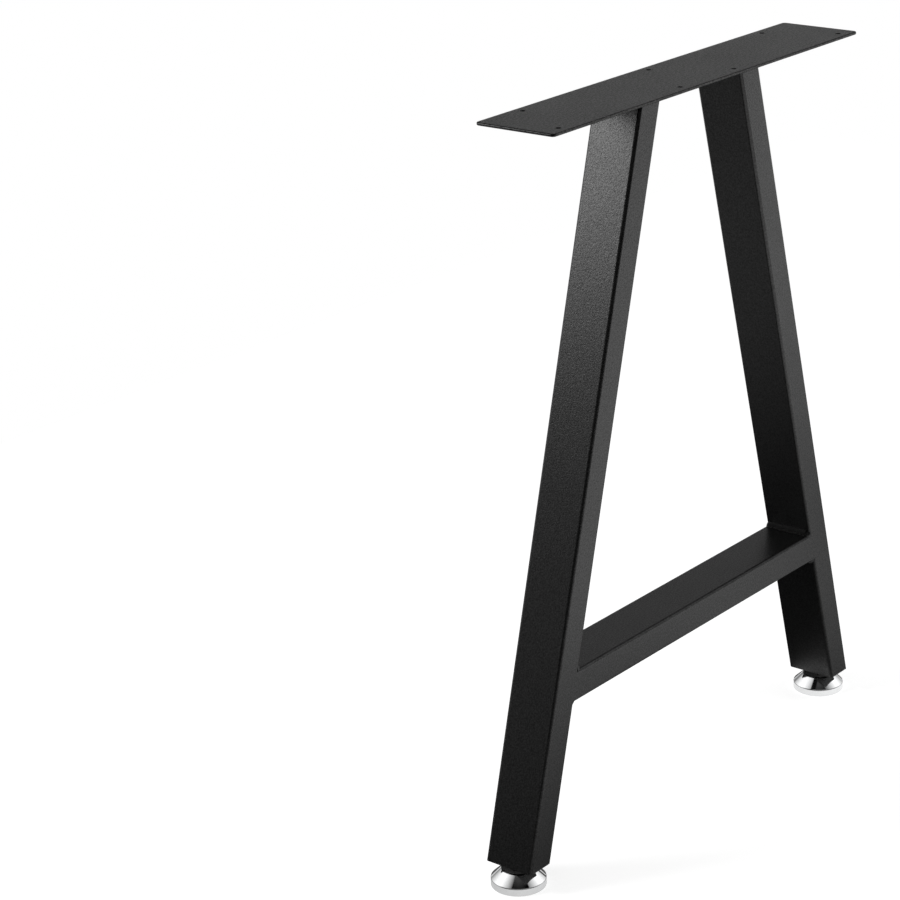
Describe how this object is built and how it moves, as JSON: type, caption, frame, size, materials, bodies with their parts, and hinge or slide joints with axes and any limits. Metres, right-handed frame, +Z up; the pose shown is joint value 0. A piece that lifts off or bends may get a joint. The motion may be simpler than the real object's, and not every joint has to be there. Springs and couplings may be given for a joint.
{
  "type": "trestle table leg",
  "caption": "A-shaped welded steel tube table leg with a screw plate on top, a low cross bar and a screw-in levelling foot under each leg.",
  "frame": {"origin": "on the floor, below the middle of the screw plate, midway between the two feet", "axes": "+Z up; +X along the screw plate and the A; +Y across the plate, towards the row of three holes"},
  "size_m": [0.5768, 0.084, 0.711],
  "materials": {
    "black_coat": "fine textured powder coat, satin",
    "bright_chrome": "polished chrome plate",
    "zinc_steel": "zinc plated, satin",
    "pad_plastic": "moulded, matte"
  },
  "bodies": {
    "frame": {"top_plate": "black_coat", "cross_tube": "black_coat", "left_leg_tube": "black_coat", "left_plate_weld": "black_coat", "left_bar_weld_upper": "black_coat", "left_bar_weld_lower": "black_coat", "left_bar_weld_front": "black_coat", "left_bar_weld_back": "black_coat", "left_end_plate": "black_coat", "left_weld_nut": "black_coat", "right_leg_tube": "black_coat", "right_plate_weld": "black_coat", "right_bar_weld_upper": "black_coat", "right_bar_weld_lower": "black_coat", "right_bar_weld_front": "black_coat", "right_bar_weld_back": "black_coat", "right_end_plate": "black_coat", "right_weld_nut": "black_coat"},
    "left_pad": {"left_foot_pad": "pad_plastic"},
    "left_foot": {"left_foot_disc": "bright_chrome", "left_foot_stud": "zinc_steel"},
    "right_pad": {"right_foot_pad": "pad_plastic"},
    "right_foot": {"right_foot_disc": "bright_chrome", "right_foot_stud": "zinc_steel"}
  },
  "joints": [
    {"name": "left_foot_travel", "type": "slide", "parent": "frame", "child": "left_pad", "axis": [0, 0, -1], "range_m": [0, 0.0105]},
    {"name": "left_foot_turn", "type": "hinge", "parent": "left_pad", "child": "left_foot", "pos_m": [-0.2624, 0, 0], "axis": [0, 0, -1], "range_deg": [0, 2160]},
    {"name": "right_foot_travel", "type": "slide", "parent": "frame", "child": "right_pad", "axis": [0, 0, -1], "range_m": [0, 0.0105]},
    {"name": "right_foot_turn", "type": "hinge", "parent": "right_pad", "child": "right_foot", "pos_m": [0.2624, 0, 0], "axis": [0, 0, -1], "range_deg": [0, 2160]}
  ],
  "couplings": [
    {"joint": "left_foot_travel", "follows": "left_foot_turn", "m_per_rad": 0.00027852},
    {"joint": "right_foot_travel", "follows": "right_foot_turn", "m_per_rad": 0.00027852}
  ]
}
